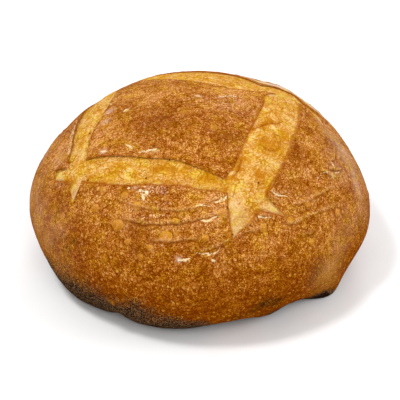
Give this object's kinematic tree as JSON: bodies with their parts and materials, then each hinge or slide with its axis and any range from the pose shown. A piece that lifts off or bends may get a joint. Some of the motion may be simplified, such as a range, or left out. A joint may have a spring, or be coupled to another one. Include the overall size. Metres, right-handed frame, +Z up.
{
  "type": "sourdough loaf",
  "caption": "Round domed hearth loaf with crossing scores, raised ears of crust, pale crumb in the cuts and a flat base.",
  "frame": {"origin": "centre of the loaf's box in plan, on the plane of its flat base", "axes": "+Z up, out of the top of the dome; -Y towards the front of the loaf, +X to its right"},
  "size_m": [0.24, 0.235, 0.1187],
  "materials": {
    "crust": "satin golden brown baked crust, pale golden in the cuts, burnt at the lower edge"
  },
  "bodies": {
    "root": {"loaf": "crust"}
  },
  "joints": []
}
